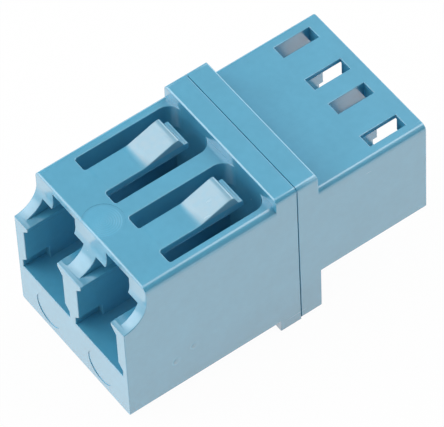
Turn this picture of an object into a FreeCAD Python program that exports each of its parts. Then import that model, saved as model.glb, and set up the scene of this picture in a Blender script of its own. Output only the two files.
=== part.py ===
"""Duplex LC fibre adapter with integral panel snaps.

Two moulded halves are welded face to face inside the panel flange. Each half holds half of a
sleeve barrel for each port, and a split ceramic sleeve is trapped in each pair of barrels. Two
snap tongues stand in the front half's roof and hold the adapter against the panel.

Frame: +X to the right, +Y from the front ports to the rear ports, +Z up. The origin lies on the
flange's front face, which seats on the panel, midway between the two fibre axes. Millimetres.
"""
import FreeCAD, Part
import math
import os

Vec = FreeCAD.Vector

# ---- widths and lengths ----
PORT_PITCH = 6.25           # between the two fibre axes
BODY_WIDTH = 12.86          # both halves and the flange, flush
FRONT_LENGTH = 12.84        # flange's front face to the front sill
REAR_LENGTH = 9.18          # flange's rear face to the rear ports
FLANGE_FRONT_DEPTH = 1.76   # front half's share of the flange
FLANGE_REAR_DEPTH = 1.77    # rear half's share of the flange

# ---- port section, heights from the fibre axis ----
POCKET_HALF = 2.30          # half width of the plug pocket, and its floor below the axis
RIB_PROUD = 0.55            # guide ribs stand in from the pocket walls
RIB_UNDERSIDE = 2.02        # height where the ribs' bevel leaves the walls
RIB_TOP = 2.95
EAR_HALF = 2.40             # half width of the way for the latch ears
EAR_CEILING = 4.25
LATCH_HALF = 1.30           # half width of the way for the latch arm
NOTCH_HALF = 2.78           # floor notches at the mouth
NOTCH_DEPTH = 1.96
NOTCH_SIDE = 0.72           # upright part of a notch above the floor

# ---- outer heights ----
FRONT_HEIGHT = 12.78        # foot to roof of the front half, which passes the panel's opening
FRONT_LATCH_GAP = 1.50      # ear ceiling to the underside of the front roof
FRONT_ROOF = 0.68           # front roof over the latch way, and the tongues' thickness
REAR_LATCH_GAP = 1.08       # ear ceiling to the underside of the rear roof
REAR_ROOF = 0.42            # rear roof over the latch way
REAR_FLOOR = 0.98           # wall under the rear ports
FLANGE_RISE = 0.91          # flange above the front roof
FLANGE_DROP = 1.08          # flange below the front foot
FLANGE_SHY = 0.21           # rear flange half ends this much higher at the bottom

# ---- roundings ----
FRONT_TOP_ROUND = 0.58
REAR_TOP_ROUND = 0.45
FLANGE_TOP_ROUND = 0.40
BOTTOM_ROUND = 0.22
FLANGE_EDGE_ROUND = 0.14    # flange's front edges
ROOF_EDGE_ROUND = 0.18      # roof's front edge over the ports
WELD_CHAMFER = 0.11         # V groove along the weld line

# ---- thumb scoop across the front ----
SCOOP_SETBACK = 1.98        # roof's front edge behind the sill's face
SCOOP_RADIUS = 2.10
SCOOP_SILL = 2.89           # height where the scoop leaves the front face

# ---- snap tongues and the slots round them ----
TONGUE_HALF = 1.18
TONGUE_ROOT = 4.64          # slots and tongues start this far behind the sill's face
TONGUE_LENGTH = 7.01        # root to tip
RAMP_START = 3.46           # from the root
CREST_START = 5.93          # from the root
CREST_FLAT = 0.30
CREST_HEIGHT = 0.83         # above the roof
HEEL_RUN = 0.41             # length of the steep back of the crest
RAMP_ROUND = 1.6
CREST_FRONT_ROUND = 0.90
CREST_BACK_ROUND = 0.22
HEEL_ROUND = 0.12
TIP_ROUND = 0.18
ROOT_FILLET = 0.20          # fillets beside the tongue's root
SLOT_REAR_ROUND = 1.08      # slots' corners at the flange

# ---- latch windows in the rear roof ----
WINDOW_INNER = 1.22
WINDOW_OUTER = 2.35
WINDOW_LENGTH = 3.04
WINDOW_TO_MOUTH = 1.04

# ---- sleeves and their barrels ----
SLEEVE_OD = 1.60
SLEEVE_ID = 1.25
SLEEVE_LENGTH = 6.80
SLEEVE_SLIT = 0.42
SLEEVE_RADIAL_PLAY = 0.04
SLEEVE_END_PLAY = 0.05
BARREL_OD = 2.60
LIP_THICKNESS = 0.40
LIP_BORE = 1.36             # small end of the lip's cone, which keeps the sleeve in
LIP_LEAD = 0.24             # the cone widens by this to guide a ferrule in

# ---- locating pegs between the halves ----
PEG_DIAMETER = 1.20
PEG_LENGTH = 0.90
PEG_PLAY = 0.04
PEG_SPACING = 8.60
PEG_DROP = 4.85             # below the fibre axes

# ---- marks left by the mould ----
EJECTOR_DIAMETER = 2.84     # pin witness marks in the sill under the ports
EJECTOR_SPACING = 6.12
EJECTOR_DROP = 2.12         # below the port floor
GATE_DIAMETER = 3.00        # gate dimple in the roof
GATE_SETBACK = 3.12         # from the sill's face
MARK_DEPTH = 0.04

# ---- derived places ----
HALF_WIDTH = BODY_WIDTH / 2
FRONT_Y = -FRONT_LENGTH
WELD_Y = FLANGE_FRONT_DEPTH
FLANGE_REAR_Y = WELD_Y + FLANGE_REAR_DEPTH
REAR_Y = FLANGE_REAR_Y + REAR_LENGTH
FLOOR_Z = -POCKET_HALF
FRONT_ROOF_UNDER = EAR_CEILING + FRONT_LATCH_GAP
FRONT_TOP_Z = FRONT_ROOF_UNDER + FRONT_ROOF
FOOT_Z = FRONT_TOP_Z - FRONT_HEIGHT
REAR_ROOF_UNDER = EAR_CEILING + REAR_LATCH_GAP
REAR_TOP_Z = REAR_ROOF_UNDER + REAR_ROOF
REAR_BOTTOM_Z = FLOOR_Z - REAR_FLOOR
FLANGE_TOP_Z = FRONT_TOP_Z + FLANGE_RISE
FLANGE_BOTTOM_Z = FOOT_Z - FLANGE_DROP
PORTS = {"left": -PORT_PITCH / 2, "right": PORT_PITCH / 2}
CUT = 1.0                   # how far cutting tools run past a face
SAME = 1e-6                 # lengths closer than this are equal
FULL_TURN = 360             # degrees


def outline(corners, place):
    """Closed face through corners (u, v, round); a round above 0 becomes a tangent arc."""
    ends = []
    count = len(corners)
    for i, (u, v, radius) in enumerate(corners):
        here = Vec(u, v, 0)
        back = (Vec(*corners[i - 1][:2], 0) - here).normalize()
        ahead = (Vec(*corners[(i + 1) % count][:2], 0) - here).normalize()
        if radius <= 0:
            ends.append((here, here, here))
            continue
        half = back.getAngle(ahead) / 2
        reach = radius / math.tan(half)
        middle = here + (back + ahead).normalize() * (radius / math.sin(half) - radius)
        ends.append((here + back * reach, middle, here + ahead * reach))
    edges = []
    for i, (start, middle, end) in enumerate(ends):
        if start != end:
            edges.append(Part.Arc(place(start), place(middle), place(end)).toShape())
        follows = ends[(i + 1) % count][0]
        edges.append(Part.LineSegment(place(end), place(follows)).toShape())
    return Part.Face(Part.Wire(edges))


def along_y(corners, y0, y1):
    """Solid of an (x, z) outline between two lengths."""
    return outline(corners, lambda p: Vec(p.x, y0, p.y)).extrude(Vec(0, y1 - y0, 0))


def along_x(corners, x0, x1):
    """Solid of a (y, z) outline between two widths."""
    return outline(corners, lambda p: Vec(x0, p.x, p.y)).extrude(Vec(x1 - x0, 0, 0))


def along_z(corners, z0, z1):
    """Solid of an (x, y) outline between two heights."""
    return outline(corners, lambda p: Vec(p.x, p.y, z0)).extrude(Vec(0, 0, z1 - z0))


def mirrored(right, centre):
    """Full outline about x = centre from its right half, listed from bottom to top."""
    left = [(2 * centre - (centre + x), z, r) for x, z, r in reversed(right)]
    return [(centre + x, z, r) for x, z, r in right] + left


def bar(bottom, top, bottom_round, top_round, y0, y1):
    """Full-width bar along Y with rounded long edges."""
    right = [(HALF_WIDTH, bottom, bottom_round), (HALF_WIDTH, top, top_round)]
    return along_y(mirrored(right, 0), y0, y1)


def rod(diameter, x, z, y0, y1):
    return Part.makeCylinder(diameter / 2, y1 - y0, Vec(x, y0, z), Vec(0, 1, 0))


def flange_half(bottom, y0, y1):
    """Half of the flange: rounded edges at the outer face, a chamfer at the weld face."""
    slab = bar(bottom, FLANGE_TOP_Z, BOTTOM_ROUND, FLANGE_TOP_ROUND, y0, y1)
    boxes = [(e, e.BoundBox) for e in slab.Edges]
    weld = [e for e, box in boxes if abs(box.YMin - WELD_Y) < SAME and box.YLength < SAME]
    slab = slab.makeChamfer(WELD_CHAMFER, weld)
    outer = y0 if y1 == WELD_Y else y1
    edge = [(outer, bottom, FLANGE_EDGE_ROUND), (WELD_Y, bottom, 0)]
    edge += [(WELD_Y, FLANGE_TOP_Z, 0), (outer, FLANGE_TOP_Z, FLANGE_EDGE_ROUND)]
    return slab.common(along_x(edge, -HALF_WIDTH - CUT, HALF_WIDTH + CUT))


def port_way(x, roof_under, y0, y1):
    """Room for one plug: pocket, guide ribs, way for the latch ears and the latch arm."""
    rib_half = POCKET_HALF - RIB_PROUD
    right = [
        (POCKET_HALF, FLOOR_Z, 0),
        (POCKET_HALF, RIB_UNDERSIDE, 0),
        (rib_half, RIB_UNDERSIDE + RIB_PROUD, 0),
        (rib_half, RIB_TOP, 0),
        (EAR_HALF, RIB_TOP, 0),
        (EAR_HALF, EAR_CEILING, 0),
        (LATCH_HALF, EAR_CEILING, 0),
        (LATCH_HALF, roof_under, 0),
    ]
    return along_y(mirrored(right, x), y0, y1)


def mouth_notch(x, y0, y1):
    """Undercut beside the floor, where the pocket's corners open out at the mouth."""
    side_top = FLOOR_Z + NOTCH_SIDE
    bevel = NOTCH_HALF - POCKET_HALF
    right = [(NOTCH_HALF, FLOOR_Z, 0), (NOTCH_HALF, side_top, 0), (POCKET_HALF, side_top + bevel, 0)]
    return along_y(mirrored(right, x), y0, y1)


def thumb_scoop():
    """Concave cut across the front, from the ledge over the sill up through the roof's edge."""
    back = FRONT_Y + SCOOP_SETBACK
    start_angle = math.asin((SCOOP_RADIUS - SCOOP_SETBACK) / SCOOP_RADIUS)
    centre_y = back - SCOOP_RADIUS
    centre_z = SCOOP_SILL + SCOOP_RADIUS * math.cos(start_angle)
    middle_angle = (start_angle + math.pi / 2) / 2

    def on_arc(angle):
        y = centre_y + SCOOP_RADIUS * math.sin(angle)
        z = centre_z - SCOOP_RADIUS * math.cos(angle)
        return Vec(0, y, z)

    lead = FRONT_TOP_Z - ROOF_EDGE_ROUND
    turn = ROOF_EDGE_ROUND * (1 - math.sqrt(0.5))
    edges = [
        Part.Arc(on_arc(start_angle), on_arc(middle_angle), on_arc(math.pi / 2)).toShape(),
        Part.LineSegment(on_arc(math.pi / 2), Vec(0, back, lead)).toShape(),
        Part.Arc(Vec(0, back, lead), Vec(0, back + turn, FRONT_TOP_Z - turn),
                 Vec(0, back + ROOF_EDGE_ROUND, FRONT_TOP_Z)).toShape(),
    ]
    rim = [
        Vec(0, back + ROOF_EDGE_ROUND, FRONT_TOP_Z),
        Vec(0, back + ROOF_EDGE_ROUND, FRONT_TOP_Z + CUT),
        Vec(0, FRONT_Y - CUT, FRONT_TOP_Z + CUT),
        Vec(0, FRONT_Y - CUT, SCOOP_SILL),
        on_arc(start_angle),
    ]
    edges += [Part.LineSegment(a, b).toShape() for a, b in zip(rim, rim[1:])]
    face = Part.Face(Part.Wire(edges))
    face.translate(Vec(-HALF_WIDTH - CUT, 0, 0))
    return face.extrude(Vec(2 * (HALF_WIDTH + CUT), 0, 0))


def tongue_bay(x):
    """Opening in the front roof that frees a tongue, with round corners at the flange."""
    front = FRONT_Y + TONGUE_ROOT
    corners = [
        (x - EAR_HALF, front, ROOT_FILLET),
        (x + EAR_HALF, front, ROOT_FILLET),
        (x + EAR_HALF, 0, SLOT_REAR_ROUND),
        (x - EAR_HALF, 0, SLOT_REAR_ROUND),
    ]
    return along_z(corners, EAR_CEILING, FRONT_TOP_Z + CUT)


def snap_tongue(x):
    """Cantilever tongue: flat strip, ramp up to the crest, steep back, and a low tip."""
    root = FRONT_Y + TONGUE_ROOT
    under = FRONT_ROOF_UNDER
    crest = FRONT_TOP_Z + CREST_HEIGHT
    heel = root + CREST_START + CREST_FLAT
    profile = [
        (root, under, 0),
        (root + TONGUE_LENGTH, under, TIP_ROUND),
        (root + TONGUE_LENGTH, FRONT_TOP_Z, TIP_ROUND),
        (heel + HEEL_RUN, FRONT_TOP_Z, HEEL_ROUND),
        (heel, crest, CREST_BACK_ROUND),
        (root + CREST_START, crest, CREST_FRONT_ROUND),
        (root + RAMP_START, FRONT_TOP_Z, RAMP_ROUND),
        (root, FRONT_TOP_Z, 0),
    ]
    strip = along_x(profile, x - TONGUE_HALF, x + TONGUE_HALF)
    for side in (-1, 1):
        corner = Vec(x + side * TONGUE_HALF, root, under)
        block = Part.makeBox(ROOT_FILLET, ROOT_FILLET, FRONT_ROOF, corner)
        if side < 0:
            block.translate(Vec(-ROOT_FILLET, 0, 0))
        centre = corner + Vec(side * ROOT_FILLET, ROOT_FILLET, 0)
        hollow = Part.makeCylinder(ROOT_FILLET, FRONT_ROOF, centre)
        strip = strip.fuse(block.cut(hollow))
    return strip.removeSplitter()


def barrel(x, web_y, tip_y):
    """Outside of a half barrel, standing on its web."""
    return rod(BARREL_OD, x, 0, min(web_y, tip_y), max(web_y, tip_y))


def barrel_bore(x, side):
    """Sleeve pocket, lip and lead-in cone of one half; side -1 is the front, 1 the rear."""
    pocket = SLEEVE_LENGTH / 2 + SLEEVE_END_PLAY
    tip = pocket + LIP_THICKNESS
    radius = SLEEVE_OD / 2 + SLEEVE_RADIAL_PLAY
    lip = LIP_BORE / 2
    half = [
        Vec(0, 0, 0), Vec(radius, 0, 0), Vec(radius, pocket, 0), Vec(lip, pocket, 0),
        Vec(lip + LIP_LEAD, tip, 0), Vec(lip + LIP_LEAD, tip + CUT, 0), Vec(0, tip + CUT, 0),
        Vec(0, 0, 0),
    ]
    tool = Part.Face(Part.makePolygon(half)).revolve(Vec(0, 0, 0), Vec(0, 1, 0), FULL_TURN)
    if side < 0:
        tool = tool.mirror(Vec(0, 0, 0), Vec(0, 1, 0))
    tool.translate(Vec(x, WELD_Y, 0))
    return tool


def front_housing():
    """Front half: foot, scooped ports, tongue bays, its half of the flange and the barrels."""
    body = bar(FOOT_Z, FRONT_TOP_Z, BOTTOM_ROUND, FRONT_TOP_ROUND, FRONT_Y, FLANGE_EDGE_ROUND)
    body = body.fuse(flange_half(FLANGE_BOTTOM_Z, 0, WELD_Y))
    body = body.cut(thumb_scoop())
    tip = WELD_Y - SLEEVE_LENGTH / 2 - SLEEVE_END_PLAY - LIP_THICKNESS
    for x in PORTS.values():
        body = body.cut(port_way(x, FRONT_ROOF_UNDER, FRONT_Y - CUT, 0))
        body = body.cut(mouth_notch(x, FRONT_Y - CUT, FRONT_Y + NOTCH_DEPTH))
        body = body.cut(tongue_bay(x))
        body = body.fuse(barrel(x, 0, tip))
        body = body.cut(barrel_bore(x, -1))
    hole = PEG_DIAMETER + 2 * PEG_PLAY
    hole_end = WELD_Y - PEG_LENGTH - PEG_PLAY
    for side in (-1, 1):
        body = body.cut(rod(hole, side * PEG_SPACING / 2, -PEG_DROP, hole_end, WELD_Y))
        pin_x = side * EJECTOR_SPACING / 2
        pin_z = FLOOR_Z - EJECTOR_DROP
        body = body.cut(rod(EJECTOR_DIAMETER, pin_x, pin_z, FRONT_Y - CUT, FRONT_Y + MARK_DEPTH))
    gate = Vec(0, FRONT_Y + GATE_SETBACK, FRONT_TOP_Z - MARK_DEPTH)
    body = body.cut(Part.makeCylinder(GATE_DIAMETER / 2, CUT, gate))
    return body.removeSplitter()


def rear_housing():
    """Rear half: lower ports with latch windows, its half of the flange, barrels and pegs."""
    inside = FLANGE_REAR_Y - FLANGE_EDGE_ROUND
    body = bar(REAR_BOTTOM_Z, REAR_TOP_Z, BOTTOM_ROUND, REAR_TOP_ROUND, inside, REAR_Y)
    body = body.fuse(flange_half(FLANGE_BOTTOM_Z + FLANGE_SHY, WELD_Y, FLANGE_REAR_Y))
    tip = WELD_Y + SLEEVE_LENGTH / 2 + SLEEVE_END_PLAY + LIP_THICKNESS
    window_end = REAR_Y - WINDOW_TO_MOUTH
    for x in PORTS.values():
        body = body.cut(port_way(x, REAR_ROOF_UNDER, FLANGE_REAR_Y, REAR_Y + CUT))
        body = body.cut(mouth_notch(x, REAR_Y - NOTCH_DEPTH, REAR_Y + CUT))
        for side in (-1, 1):
            low = min(side * WINDOW_INNER, side * WINDOW_OUTER)
            corner = Vec(x + low, window_end - WINDOW_LENGTH, EAR_CEILING)
            height = REAR_TOP_Z + CUT - EAR_CEILING
            body = body.cut(Part.makeBox(WINDOW_OUTER - WINDOW_INNER, WINDOW_LENGTH, height, corner))
        body = body.fuse(barrel(x, FLANGE_REAR_Y, tip))
        body = body.cut(barrel_bore(x, 1))
    peg_tip = WELD_Y - PEG_LENGTH
    for side in (-1, 1):
        peg_x = side * PEG_SPACING / 2
        body = body.fuse(rod(PEG_DIAMETER, peg_x, -PEG_DROP, peg_tip, WELD_Y + PEG_PLAY))
    return body.removeSplitter()


def alignment_sleeve(x):
    """Split sleeve that lines up two ferrules; its slit faces up."""
    y0 = WELD_Y - SLEEVE_LENGTH / 2
    y1 = y0 + SLEEVE_LENGTH
    tube = rod(SLEEVE_OD, x, 0, y0, y1).cut(rod(SLEEVE_ID, x, 0, y0 - CUT, y1 + CUT))
    corner = Vec(x - SLEEVE_SLIT / 2, y0 - CUT, 0)
    slit = Part.makeBox(SLEEVE_SLIT, SLEEVE_LENGTH + 2 * CUT, SLEEVE_OD, corner)
    return tube.cut(slit)


def save(name, shape):
    solids = shape.Solids
    if len(solids) != 1 or not shape.isValid():
        raise ValueError(name + " is not one valid solid")
    solids[0].exportStep(os.path.join("parts", name + ".step"))
    box = shape.BoundBox
    print(f"{name}: volume {solids[0].Volume:.1f} mm3")
    print(f"    Y {box.YMin:.2f}..{box.YMax:.2f}, Z {box.ZMin:.2f}..{box.ZMax:.2f}")


os.makedirs("parts", exist_ok=True)
save("front_housing", front_housing())
save("rear_housing", rear_housing())
for side_name, port_x in PORTS.items():
    save(side_name + "_snap_tongue", snap_tongue(port_x))
    save(side_name + "_alignment_sleeve", alignment_sleeve(port_x))
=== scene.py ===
import math

import bmesh
import bpy
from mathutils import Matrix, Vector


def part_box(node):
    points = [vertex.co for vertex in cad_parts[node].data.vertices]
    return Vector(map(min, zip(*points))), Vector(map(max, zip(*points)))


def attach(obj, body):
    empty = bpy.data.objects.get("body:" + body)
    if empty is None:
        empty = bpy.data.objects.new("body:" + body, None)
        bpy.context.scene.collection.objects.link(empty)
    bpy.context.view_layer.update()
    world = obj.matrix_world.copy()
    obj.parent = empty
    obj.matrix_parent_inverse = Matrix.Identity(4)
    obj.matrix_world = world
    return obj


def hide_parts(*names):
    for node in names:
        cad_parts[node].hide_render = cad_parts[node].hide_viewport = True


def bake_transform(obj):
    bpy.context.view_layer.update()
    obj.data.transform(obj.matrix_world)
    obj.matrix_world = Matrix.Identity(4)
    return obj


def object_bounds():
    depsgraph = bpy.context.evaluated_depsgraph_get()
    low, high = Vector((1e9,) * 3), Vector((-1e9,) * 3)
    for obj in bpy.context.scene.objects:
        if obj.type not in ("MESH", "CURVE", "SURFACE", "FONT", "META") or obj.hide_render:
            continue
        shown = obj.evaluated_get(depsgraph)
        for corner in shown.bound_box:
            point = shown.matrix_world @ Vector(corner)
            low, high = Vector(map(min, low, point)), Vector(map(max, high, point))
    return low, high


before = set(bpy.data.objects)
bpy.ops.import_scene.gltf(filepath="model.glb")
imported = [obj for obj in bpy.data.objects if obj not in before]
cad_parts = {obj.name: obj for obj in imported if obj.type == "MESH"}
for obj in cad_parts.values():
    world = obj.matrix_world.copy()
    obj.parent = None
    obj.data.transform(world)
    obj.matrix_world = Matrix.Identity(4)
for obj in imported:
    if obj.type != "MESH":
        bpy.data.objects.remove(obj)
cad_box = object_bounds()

scene = bpy.context.scene
scene.view_settings.view_transform = "Standard"

# ---- View and studio ------------------------------------------------------------------------
# The adapter stands on its flange on a pale plain floor, seen from above its front right corner
# with a long lens. Soft panels light it from all round, over a dim and even studio air.

CAMERA_PLACE = (0.176794, -0.118175, 0.278190)
CAMERA_TURN = (37.301, 1.961, 53.692)
LENS = 412.70
SENSOR = 36.0
NEAREST = 0.01
FARTHEST = 20.0
FLOOR_WIDTH = 6.0
FLOOR_GAP = 0.00002
FLOOR_PAINT = (0.86, 0.86, 0.86, 1)
FLOOR_SEEN = 0.97               # share of plain white in what the camera and gloss see of it
WHITE = (1, 1, 1, 1)
STUDIO_AIR = 0.13
PANEL_EDGE = 12                 # a panel fades over this many degrees, inwards and outwards
PANELS = (                      # azimuth from +X, elevation, half width in degrees, brightness
    (90, 8, 55, 0.85),
    (245, 10, 45, 1.18),
    (65, 33, 20, 0.67),
    (110, 33, 20, 0.99),
    (200, 33, 20, 0.19),
    (222, 35, 35, 0.93),
    (200, 60, 18, 0.75),
    (88, 66, 8, 1.80),
    (0, 88, 14, 0.53),
)

camera_data = bpy.data.cameras.new("camera")
camera_data.sensor_fit = "HORIZONTAL"
camera_data.sensor_width = SENSOR
camera_data.lens = LENS
camera_data.clip_start = NEAREST
camera_data.clip_end = FARTHEST
camera = bpy.data.objects.new("camera", camera_data)
scene.collection.objects.link(camera)
camera.location = CAMERA_PLACE
camera.rotation_euler = [math.radians(turn) for turn in CAMERA_TURN]
scene.camera = camera

bpy.ops.object.select_all(action="DESELECT")
bpy.ops.mesh.primitive_plane_add(size=FLOOR_WIDTH, location=(0, 0, cad_box[0][2] - FLOOR_GAP))
floor = bpy.context.object
floor.name = "studio_floor"


def work_out(tree, operation, first, second=None, third=None):
    """Math node on up to three sockets or numbers."""
    node = tree.nodes.new("ShaderNodeMath")
    node.operation = operation
    for socket, value in zip(node.inputs, (first, second, third)):
        if isinstance(value, (int, float)):
            socket.default_value = value
        elif value is not None:
            tree.links.new(value, socket)
    return node.outputs[0]


def ramp_of(tree, value, low, high, bottom=0.0, top=1.0):
    """Soft step from bottom to top as value goes from low to high."""
    node = tree.nodes.new("ShaderNodeMapRange")
    node.interpolation_type = "SMOOTHSTEP"
    tree.links.new(value, node.inputs["Value"])
    node.inputs["From Min"].default_value = low
    node.inputs["From Max"].default_value = high
    node.inputs["To Min"].default_value = bottom
    node.inputs["To Max"].default_value = top
    return node.outputs["Result"]


def plain_backdrop(name):
    """White paint that lights the object plainly; camera and gloss see it a little brighter."""
    material = bpy.data.materials.new(name)
    material.use_nodes = True
    tree = material.node_tree
    tree.nodes.clear()
    output = tree.nodes.new("ShaderNodeOutputMaterial")
    matt = tree.nodes.new("ShaderNodeBsdfDiffuse")
    matt.inputs["Color"].default_value = FLOOR_PAINT
    glow = tree.nodes.new("ShaderNodeEmission")
    glow.inputs["Color"].default_value = WHITE
    glow.inputs["Strength"].default_value = 1.0
    path = tree.nodes.new("ShaderNodeLightPath")
    looked_at = work_out(tree, "MAXIMUM", path.outputs["Is Camera Ray"],
                         path.outputs["Is Glossy Ray"])
    looked_at = work_out(tree, "MAXIMUM", looked_at, path.outputs["Is Transmission Ray"])
    mix = tree.nodes.new("ShaderNodeMixShader")
    tree.links.new(work_out(tree, "MULTIPLY", looked_at, FLOOR_SEEN), mix.inputs["Fac"])
    tree.links.new(matt.outputs[0], mix.inputs[1])
    tree.links.new(glow.outputs[0], mix.inputs[2])
    tree.links.new(mix.outputs[0], output.inputs["Surface"])
    return material


floor.data.materials.append(plain_backdrop("studio_white"))

world = bpy.data.worlds.new("studio_air")
scene.world = world
world.use_nodes = True
air = world.node_tree
way = air.nodes.new("ShaderNodeTexCoord")
light = STUDIO_AIR
for azimuth, elevation, spread, brightness in PANELS:
    turn, rise = math.radians(azimuth), math.radians(elevation)
    toward = air.nodes.new("ShaderNodeVectorMath")
    toward.operation = "DOT_PRODUCT"
    toward.inputs[1].default_value = (
        math.cos(turn) * math.cos(rise), math.sin(turn) * math.cos(rise), math.sin(rise))
    air.links.new(way.outputs["Generated"], toward.inputs[0])
    panel = ramp_of(air, toward.outputs["Value"], math.cos(math.radians(spread + PANEL_EDGE)),
                    math.cos(math.radians(spread - PANEL_EDGE)), top=brightness)
    light = work_out(air, "ADD", light, panel)
air.links.new(light, air.nodes["Background"].inputs["Strength"])
air.nodes["Background"].inputs["Color"].default_value = WHITE

# ---- Front half -----------------------------------------------------------------------------
# Moulded in one shot of blue plastic: foot, two scooped ports, the roof with its tongue bays and
# the front part of the flange. Every edge of the mould is broken by a small radius.

MM = 0.001                      # pieces are worked in millimetres and brought back to metres
EDGE_RADIUS = 0.06
EDGE_STEPS = 3
LOW_WALL = 1.6                  # a wall lower than this many radii keeps its edge
CREASE = math.radians(35)       # an edge that turns less is part of a curve
FULL_CREASE = math.radians(36)
FLAT = math.radians(0.4)
SAME_POINT = 0.0004
ALONG, UP = 1, 2                # the axes from front to rear and from foot to roof
EAR_CEILING = 4.25              # height of a rim that stays sharp
GATE = (0.0, -9.72, 6.43)
GATE_RADIUS = 1.5
GATE_MARGIN = 0.01              # the dimple's points are found this far past its rim,
GATE_DEEPEST = 0.1              # and between these two depths under the roof
GATE_LEVEL = 0.001
GATE_FILL = 0.55                # share of the dimple's depth that is taken away
WELD_FACE = 1.76
GROOVE_RIM = 0.11               # from the weld face to either rim of the groove
GROOVE_SHARE = 0.08             # how much nearer each rim is brought


def take_up(piece):
    """Makes a piece the only one selected, ready to be worked on."""
    bpy.ops.object.select_all(action="DESELECT")
    piece.select_set(True)
    bpy.context.view_layer.objects.active = piece


def finish_modifier(piece, kind, **settings):
    """Adds a modifier with its settings and applies it."""
    take_up(piece)
    bpy.ops.object.modifier_add(type=kind)
    modifier = piece.modifiers[-1]
    for name, value in settings.items():
        setattr(modifier, name, value)
    bpy.ops.object.modifier_apply(modifier=modifier.name)


def make_faces_whole():
    """Joins the loose triangles of the mesh in edit mode and dissolves edges on flat faces."""
    bpy.ops.mesh.select_all(action="SELECT")
    bpy.ops.mesh.remove_doubles(threshold=SAME_POINT)
    bpy.ops.mesh.dissolve_limited(angle_limit=FLAT)


def blank_from(node, name):
    """Copy of a solid in millimetres, with its triangles joined and its flat faces whole."""
    piece = bpy.data.objects.new(name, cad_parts[node].data.copy())
    scene.collection.objects.link(piece)
    take_up(piece)
    bpy.ops.mesh.customdata_custom_splitnormals_clear()
    bpy.ops.object.mode_set(mode="EDIT")
    bpy.ops.mesh.select_all(action="SELECT")
    bpy.ops.transform.resize(value=(1 / MM, 1 / MM, 1 / MM), center_override=(0, 0, 0))
    make_faces_whole()
    bpy.ops.object.mode_set(mode="OBJECT")
    return piece


def move_points(piece, wanted, tool, **settings):
    """Picks the points of a piece that pass a test, and moves them with a transform tool."""
    take_up(piece)
    bpy.ops.object.mode_set(mode="EDIT")
    bpy.ops.mesh.select_mode(type="VERT")
    bpy.ops.mesh.select_all(action="DESELECT")
    form = bmesh.from_edit_mesh(piece.data)
    for vert in form.verts:
        vert.select = wanted(vert.co)
    form.select_flush_mode()
    bmesh.update_edit_mesh(piece.data)
    tool(**settings)
    bpy.ops.mesh.select_mode(type="FACE")
    bpy.ops.object.mode_set(mode="OBJECT")


def narrow_weld_groove(piece, side):
    """Brings the groove's rim nearer to the weld face, on the front (-1) or the rear half (1)."""
    rim = WELD_FACE + side * GROOVE_RIM
    move_points(piece, lambda at: abs(at.y - rim) < SAME_POINT,
                bpy.ops.transform.translate, value=(0, -side * GROOVE_SHARE, 0))
    return rim - side * GROOVE_SHARE


def in_gate_dimple(at):
    """Whether a point lies in the sunk part of the gate's dimple."""
    near = math.hypot(at.x - GATE[0], at.y - GATE[1]) < GATE_RADIUS + GATE_MARGIN
    return near and GATE[2] - GATE_DEEPEST < at.z < GATE[2] - GATE_LEVEL


def stays_sharp(edge, radius, sharp_rims):
    """Whether an edge is hollow, lies on a sharp rim or ends a wall too low for the radius."""
    if not edge.is_convex:
        return True
    for axis, at in sharp_rims:
        if all(abs(vert.co[axis] - at) < SAME_POINT for vert in edge.verts):
            return True
    smaller = min(face.calc_area() for face in edge.link_faces)
    return smaller < LOW_WALL * radius * edge.calc_length()


def break_edges(piece, radius, sharp_rims=()):
    """Rounds the outer creases of a piece by a small radius."""
    take_up(piece)
    bpy.ops.object.mode_set(mode="EDIT")
    make_faces_whole()
    bpy.ops.object.mode_set(mode="OBJECT")
    form = bmesh.new()
    form.from_mesh(piece.data)
    share = form.edges.layers.float.new("bevel_weight_edge")
    for edge in form.edges:
        if not stays_sharp(edge, radius, sharp_rims):
            full = (edge.calc_face_angle() - CREASE) / (FULL_CREASE - CREASE)
            edge[share] = min(max(full, 0), 1)
    form.to_mesh(piece.data)
    form.free()
    finish_modifier(piece, "BEVEL", limit_method="WEIGHT", width=radius, segments=EDGE_STEPS,
                    use_clamp_overlap=False)


def to_metres(piece):
    """Brings a piece back to metres and shades its faces as moulded surfaces."""
    take_up(piece)
    bpy.ops.object.mode_set(mode="EDIT")
    bpy.ops.mesh.select_all(action="SELECT")
    bpy.ops.transform.resize(value=(MM, MM, MM), center_override=(0, 0, 0))
    bpy.ops.object.mode_set(mode="OBJECT")
    bpy.ops.object.shade_smooth_by_angle(angle=CREASE)
    finish_modifier(piece, "WEIGHTED_NORMAL", keep_sharp=True)


# The tongues are moulded with the roof, so they join it here and are cut from it further down.
front = blank_from("front_housing", "front_moulding")
for side in ("left", "right"):
    strip = blank_from(side + "_snap_tongue", side + "_strip")
    finish_modifier(front, "BOOLEAN", operation="UNION", solver="EXACT", object=strip)
    bpy.data.objects.remove(strip)
narrow_weld_groove(front, -1)
move_points(front, in_gate_dimple, bpy.ops.transform.resize,
            value=(1, 1, 1 - GATE_FILL), center_override=GATE)
break_edges(front, EDGE_RADIUS, ((UP, EAR_CEILING),))

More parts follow.
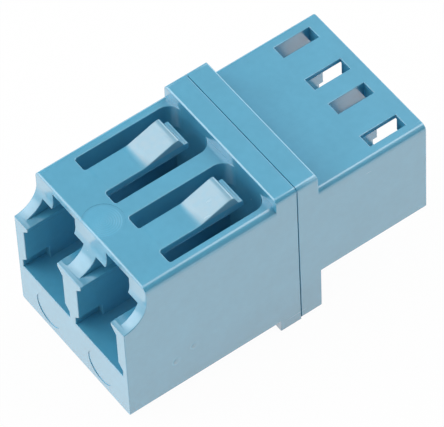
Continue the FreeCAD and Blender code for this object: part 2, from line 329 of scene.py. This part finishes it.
BLUE = (0.090, 0.395, 0.590)
PLASTIC_ROUGHNESS = 0.20
PLASTIC_GLOSS = {
    "IOR": 1.55,
    "Specular IOR Level": 1.0,
    "Coat Weight": 1.0,
    "Coat IOR": 1.7,
    "Coat Roughness": 0.17,
}
DRIFT_TONE = 0.16               # from the darkest to the palest part of each pattern
MOTTLE_TONE = 0.11
MOTTLE_DULLNESS = 0.10
SCUFF_TONE = 0.03
SCUFF_DULLNESS = 0.09
SCUFF_DEPTH = 0.0006
SCUFF_START, SCUFF_FULL = 0.68, 0.78
DISC_FADE = 0.86                # share of its reach at which a mark starts to fade out
FAINT_END, CLEAR_END = -0.5, 0.6
FAINT_SHARE = 0.15
GATE_TONE = 0.07
# The ring tones of the gate and press marks are painted shade and highlight on the rings' ridges.
GATE_RING_PAINTED_SHADE = 0.06
PRESS_MARKS = ((6.43, -8.76, -3.36), (6.43, -7.21, -2.81))
PRESS_RING_PAINTED_SHADE = 0.20


def new_group(name, ways_in, ways_out):
    """Empty shader group with its named ways in and out."""
    group = bpy.data.node_groups.new(name, "ShaderNodeTree")
    for label, kind, value in ways_in:
        socket = group.interface.new_socket(
            name=label, in_out="INPUT", socket_type="NodeSocket" + kind)
        if value is not None:
            socket.default_value = value
    for label in ways_out:
        group.interface.new_socket(name=label, in_out="OUTPUT", socket_type="NodeSocketFloat")
    return group, group.nodes.new("NodeGroupInput"), group.nodes.new("NodeGroupOutput")


def cloud_of(tree, place, scale, detail, stretch=(1, 1, 1), turn=(0, 0, 0)):
    """Noise with so many lumps to the millimetre, stretched and turned as asked."""
    lie = tree.nodes.new("ShaderNodeMapping")
    lie.inputs["Scale"].default_value = stretch
    lie.inputs["Rotation"].default_value = turn
    noise = tree.nodes.new("ShaderNodeTexNoise")
    noise.inputs["Scale"].default_value = scale
    noise.inputs["Detail"].default_value = detail
    tree.links.new(place, lie.inputs["Vector"])
    tree.links.new(lie.outputs[0], noise.inputs["Vector"])
    return noise.outputs["Fac"]


def sway(tree, cloud, reach, middle):
    """A cloud about a middle value, as far up as down."""
    return work_out(tree, "MULTIPLY_ADD", cloud, reach, middle - reach / 2)


# Skin of a polished mould. Place is in millimetres, and Relief is a height in millimetres.
skin, skin_in, skin_out = new_group(
    "moulded_skin",
    (("Place", "Vector", None), ("Grain Depth", "Float", 0.0005), ("Wave Depth", "Float", 0.012)),
    ("Tone", "Dullness", "Relief"))
place = skin_in.outputs["Place"]
drift = cloud_of(skin, place, scale=0.32, detail=2)
mottle = cloud_of(skin, place, scale=1.9, detail=4)
grain = cloud_of(skin, place, scale=18, detail=3)
flow = cloud_of(skin, place, scale=0.55, detail=1, stretch=(1, 0.45, 1))
hair = cloud_of(skin, place, scale=2.6, detail=3, stretch=(1, 0.05, 1), turn=(0.3, 0.1, 0.55))
scuff = ramp_of(skin, hair, SCUFF_START, SCUFF_FULL)
tone = sway(skin, drift, DRIFT_TONE, 1)
tone = work_out(skin, "ADD", tone, sway(skin, mottle, MOTTLE_TONE, 0))
tone = work_out(skin, "MULTIPLY_ADD", scuff, SCUFF_TONE, tone)
dull = sway(skin, mottle, MOTTLE_DULLNESS, 0)
dull = work_out(skin, "MULTIPLY_ADD", scuff, SCUFF_DULLNESS, dull)
relief = work_out(skin, "MULTIPLY", grain, skin_in.outputs["Grain Depth"])
relief = work_out(skin, "MULTIPLY_ADD", flow, skin_in.outputs["Wave Depth"], relief)
relief = work_out(skin, "MULTIPLY_ADD", scuff, -SCUFF_DEPTH, relief)
skin.links.new(tone, skin_out.inputs["Tone"])
skin.links.new(dull, skin_out.inputs["Dullness"])
skin.links.new(relief, skin_out.inputs["Relief"])

# Rings of a mould mark about a centre, clearer on the side that Lean points to. Materials paint
# the Wave as shade and highlight on the rings; Relief is their height.
rings, rings_in, rings_out = new_group(
    "mould_rings",
    (("Place", "Vector", None), ("Centre", "Vector", None), ("Lean", "Vector", (1, 0, 0)),
     ("Reach", "Float", 1.0), ("Pitch", "Float", 0.14), ("Depth", "Float", 0.001)),
    ("Disc", "Wave", "Relief"))
away = rings.nodes.new("ShaderNodeVectorMath")
away.operation = "SUBTRACT"
span = rings.nodes.new("ShaderNodeVectorMath")
span.operation = "LENGTH"
side_of = rings.nodes.new("ShaderNodeVectorMath")
side_of.operation = "DOT_PRODUCT"
rings.links.new(rings_in.outputs["Place"], away.inputs[0])
rings.links.new(rings_in.outputs["Centre"], away.inputs[1])
rings.links.new(away.outputs[0], span.inputs[0])
rings.links.new(away.outputs[0], side_of.inputs[0])
rings.links.new(rings_in.outputs["Lean"], side_of.inputs[1])
share = work_out(rings, "DIVIDE", span.outputs["Value"], rings_in.outputs["Reach"])
disc = ramp_of(rings, share, DISC_FADE, 1, bottom=1, top=0)
turns = work_out(rings, "DIVIDE", span.outputs["Value"], rings_in.outputs["Pitch"])
wave = work_out(rings, "SINE", work_out(rings, "MULTIPLY", turns, math.tau))
lean = work_out(rings, "DIVIDE", side_of.outputs["Value"], rings_in.outputs["Reach"])
lean = ramp_of(rings, lean, FAINT_END, CLEAR_END, bottom=FAINT_SHARE)
wave = work_out(rings, "MULTIPLY", work_out(rings, "MULTIPLY", wave, lean), disc)
rings.links.new(disc, rings_out.inputs["Disc"])
rings.links.new(wave, rings_out.inputs["Wave"])
rings.links.new(work_out(rings, "MULTIPLY", wave, rings_in.outputs["Depth"]),
                rings_out.inputs["Relief"])


def place_in_mm(tree):
    """Object coordinates in millimetres."""
    point = tree.nodes.new("ShaderNodeTexCoord")
    scale = tree.nodes.new("ShaderNodeMapping")
    scale.inputs["Scale"].default_value = (1 / MM, 1 / MM, 1 / MM)
    tree.links.new(point.outputs["Object"], scale.inputs["Vector"])
    return scale.outputs[0]


def group_in(tree, group, place, **values):
    """A group placed in a material with its own values."""
    node = tree.nodes.new("ShaderNodeGroup")
    node.node_tree = group
    tree.links.new(place, node.inputs["Place"])
    for label, value in values.items():
        node.inputs[label].default_value = value
    return node


def dress(tree, paint, roughness, relief):
    """Feeds a paint, a roughness and a relief in millimetres to the material's shader."""
    shader = tree.nodes["Principled BSDF"]
    tree.links.new(paint, shader.inputs["Base Color"])
    tree.links.new(roughness, shader.inputs["Roughness"])
    bump = tree.nodes.new("ShaderNodeBump")
    bump.inputs["Distance"].default_value = MM
    bump.inputs["Strength"].default_value = 1.0
    tree.links.new(relief, bump.inputs["Height"])
    tree.links.new(bump.outputs[0], shader.inputs["Normal"])
    return shader


def toned(tree, colour, tone):
    """A colour made lighter or darker by a tone."""
    paint = tree.nodes.new("ShaderNodeVectorMath")
    paint.operation = "SCALE"
    paint.inputs[0].default_value = colour
    tree.links.new(tone, paint.inputs["Scale"])
    return paint.outputs[0]


def moulded_plastic(name, marks_and_shade=None, wear_and_sheen=None):
    """Semi-gloss blue plastic as it leaves a polished mould, with a piece's marks and wear, and
    the painted shade and sheen that come with them.
    """
    material = bpy.data.materials.new(name)
    material.use_nodes = True
    tree = material.node_tree
    place = place_in_mm(tree)
    surface = group_in(tree, skin, place)
    tone, dull, relief = (surface.outputs[label] for label in ("Tone", "Dullness", "Relief"))
    if marks_and_shade:
        tone, relief = marks_and_shade(tree, place, tone, relief)
    paint = toned(tree, BLUE, tone)
    if wear_and_sheen:
        paint, dull = wear_and_sheen(tree, place, paint, dull)
    shader = dress(tree, paint, work_out(tree, "ADD", dull, PLASTIC_ROUGHNESS), relief)
    for label, value in PLASTIC_GLOSS.items():
        shader.inputs[label].default_value = value
    return material


def gate_and_press_marks_shaded(tree, place, tone, relief):
    """Rings of the gate in the roof, and two small press marks on the right side, with painted
    shade and highlight on their rings.
    """
    gate = group_in(tree, rings, place, Centre=GATE, Lean=(0.9, 0.2, 0), Reach=1.45, Pitch=0.17,
                    Depth=0.0035)
    tone = work_out(tree, "MULTIPLY_ADD", gate.outputs["Disc"], GATE_TONE, tone)
    # Painted shade and highlight on the gate's rings, clearer towards +X.
    tone = work_out(tree, "MULTIPLY_ADD", gate.outputs["Wave"], GATE_RING_PAINTED_SHADE, tone)
    relief = work_out(tree, "ADD", relief, gate.outputs["Relief"])
    for centre in PRESS_MARKS:
        press = group_in(tree, rings, place, Centre=centre, Lean=(0, -1, 0), Reach=0.45,
                         Pitch=0.50, Depth=0.03)
        # Painted shade and highlight on each press mark's rings: dark and light crescents, clearer
        # on the front side.
        tone = work_out(tree, "MULTIPLY_ADD", press.outputs["Wave"], -PRESS_RING_PAINTED_SHADE, tone)
        relief = work_out(tree, "ADD", relief, press.outputs["Relief"])
    return tone, relief


def finish_piece(piece, material, node):
    """Gives a rigid piece its material and lets it stand for a solid of the adapter."""
    piece.data.materials.clear()
    piece.data.materials.append(material)
    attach(piece, "adapter")
    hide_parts(node)


front_plastic = moulded_plastic("front_plastic", marks_and_shade=gate_and_press_marks_shaded)

# ---- Snap tongues ---------------------------------------------------------------------------
# Strips of the front half, free on three sides, each with a ramp and a crest that hold the panel.
# They are moulded with the roof and bend at the root, so each is cut from it just past the root.

BEND_START = 0.25               # the bend's two ends, from the root
TONGUE_BENDS = 24
LAST_BEND = 0.3                 # from the last cut to the tip
BOX_MARGIN = 0.1                # how far past a tongue's box, its root and a cut its faces may
ROOT_MARGIN = 0.02              # still reach
CUT_MARGIN = 0.001
# The pale colour next is a painted sheen on the ramps, spread in blotches and dulled like rubbing
# wear.
PAINTED_SHEEN = (0.300, 0.430, 0.500)
SHEEN_AND_RUB_START, SHEEN_AND_RUB_FULL = 6.432, 6.50       # heights, from just above the roof
PATCHES = (0.35, 0.65)
PATCH_LEAST = 0.75
SHEEN_AND_RUB_SHARE = 0.5
RUB_DULLNESS = 0.06


def pick_faces(form, low, high, from_y, whole):
    """Selects the faces that lie in a tongue's box, or only reach into it."""
    for face in form.faces:
        inside = [low.x - BOX_MARGIN < vert.co.x < high.x + BOX_MARGIN
                  and from_y < vert.co.y < high.y + BOX_MARGIN
                  and vert.co.z > low.z - BOX_MARGIN for vert in face.verts]
        face.select = all(inside) if whole else any(inside)


def sheen_and_rubbed_ramp(tree, place, paint, dull):
    """A painted pale sheen on the ramp above the roof, in blotches, and duller plastic where
    panels have slid over it.
    """
    split = tree.nodes.new("ShaderNodeSeparateXYZ")
    tree.links.new(place, split.inputs[0])
    height = ramp_of(tree, split.outputs["Z"], SHEEN_AND_RUB_START, SHEEN_AND_RUB_FULL)
    patch = ramp_of(tree, cloud_of(tree, place, scale=2.2, detail=4), *PATCHES, bottom=PATCH_LEAST)
    sheen_and_wear = work_out(tree, "MULTIPLY", work_out(tree, "MULTIPLY", height, patch), SHEEN_AND_RUB_SHARE)
    # Mixes the pale painted sheen into the paint over the blotched ramp.
    pale = tree.nodes.new("ShaderNodeMix")
    pale.data_type = "RGBA"
    share, first, second = pale.inputs[0], pale.inputs[6], pale.inputs[7]
    second.default_value = (*PAINTED_SHEEN, 1)
    tree.links.new(sheen_and_wear, share)
    tree.links.new(paint, first)
    return pale.outputs[2], work_out(tree, "MULTIPLY_ADD", sheen_and_wear, RUB_DULLNESS, dull)


# The tongues' ramps carry a pale painted sheen, blotched and dulled like rubbing wear.
tongue_plastic = moulded_plastic("tongue_plastic", wear_and_sheen=sheen_and_rubbed_ramp)
tongues = []
for side in ("left", "right"):
    low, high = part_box(side + "_snap_tongue")
    low, high = low / MM, high / MM
    start = low.y + BEND_START
    take_up(front)
    bpy.ops.object.mode_set(mode="EDIT")
    bpy.ops.mesh.select_mode(type="FACE")
    for cut in range(TONGUE_BENDS):
        # The first cut also goes through the roof and its underside, which the tongue is part of.
        form = bmesh.from_edit_mesh(front.data)
        from_y = start - CUT_MARGIN if cut else low.y - ROOT_MARGIN
        pick_faces(form, low, high, from_y, whole=cut > 0)
        bmesh.update_edit_mesh(front.data)
        depth = start + (high.y - start - LAST_BEND) * cut / TONGUE_BENDS
        bpy.ops.mesh.bisect(plane_co=(0, depth, 0), plane_no=(0, 1, 0))
    form = bmesh.from_edit_mesh(front.data)
    pick_faces(form, low, high, start - CUT_MARGIN, whole=True)
    bmesh.update_edit_mesh(front.data)
    bpy.ops.mesh.separate(type="SELECTED")
    bpy.ops.object.mode_set(mode="OBJECT")
    tongue = next(piece for piece in bpy.context.selected_objects if piece != front)
    tongue.name = side + "_tongue"
    tongues.append((side, tongue))

for piece in (front, *[tongue for side, tongue in tongues]):
    take_up(piece)
    bpy.ops.object.mode_set(mode="EDIT")
    bpy.ops.mesh.select_all(action="SELECT")
    bpy.ops.mesh.fill_holes(sides=0)
    bpy.ops.object.mode_set(mode="OBJECT")
    to_metres(piece)

finish_piece(front, front_plastic, "front_housing")
for side, tongue in tongues:
    low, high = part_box(side + "_snap_tongue")
    tongue.data.materials.clear()
    tongue.data.materials.append(tongue_plastic)
    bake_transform(tongue)
    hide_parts(side + "_snap_tongue")

# ---- Rear half ------------------------------------------------------------------------------
# The lower moulding behind the panel: the rear part of the flange and two ports with latch
# windows. It is welded to the front half through the flange, which leaves a fine line round it.

rear = blank_from("rear_housing", "rear_moulding")
weld_rim = narrow_weld_groove(rear, 1)
break_edges(rear, EDGE_RADIUS, ((UP, EAR_CEILING), (ALONG, weld_rim)))
to_metres(rear)
finish_piece(rear, moulded_plastic("rear_plastic"), "rear_housing")

# ---- Alignment sleeves ----------------------------------------------------------------------
# Split tubes of polished zirconia, one in each pair of barrels, which line the two fibres up.
# They are ground round, so very fine lines run round them, and they are held by the barrels.

IVORY = (0.80, 0.79, 0.73)
SLEEVE_EDGE = 0.03
CERAMIC_IOR = 2.1
SPECK_TONE = 0.08
LINE_DULLNESS = 0.10
CERAMIC_ROUGHNESS = 0.15

ground, ground_in, ground_out = new_group(
    "ground_ceramic", (("Place", "Vector", None), ("Line Depth", "Float", 0.0004)),
    ("Tone", "Dullness", "Relief"))
place = ground_in.outputs["Place"]
lines = cloud_of(ground, place, scale=1, detail=3, stretch=(0.4, 22, 0.4))
speck = cloud_of(ground, place, scale=3, detail=4)
ground.links.new(sway(ground, speck, SPECK_TONE, 1), ground_out.inputs["Tone"])
ground.links.new(sway(ground, lines, LINE_DULLNESS, CERAMIC_ROUGHNESS),
                 ground_out.inputs["Dullness"])
ground.links.new(work_out(ground, "MULTIPLY", lines, ground_in.outputs["Line Depth"]),
                 ground_out.inputs["Relief"])

zirconia = bpy.data.materials.new("zirconia")
zirconia.use_nodes = True
tree = zirconia.node_tree
polish = group_in(tree, ground, place_in_mm(tree))
glaze = dress(tree, toned(tree, IVORY, polish.outputs["Tone"]), polish.outputs["Dullness"],
              polish.outputs["Relief"])
glaze.inputs["IOR"].default_value = CERAMIC_IOR

for side in ("left", "right"):
    sleeve = blank_from(side + "_alignment_sleeve", side + "_sleeve")
    break_edges(sleeve, SLEEVE_EDGE)
    to_metres(sleeve)
    finish_piece(sleeve, zirconia, side + "_alignment_sleeve")
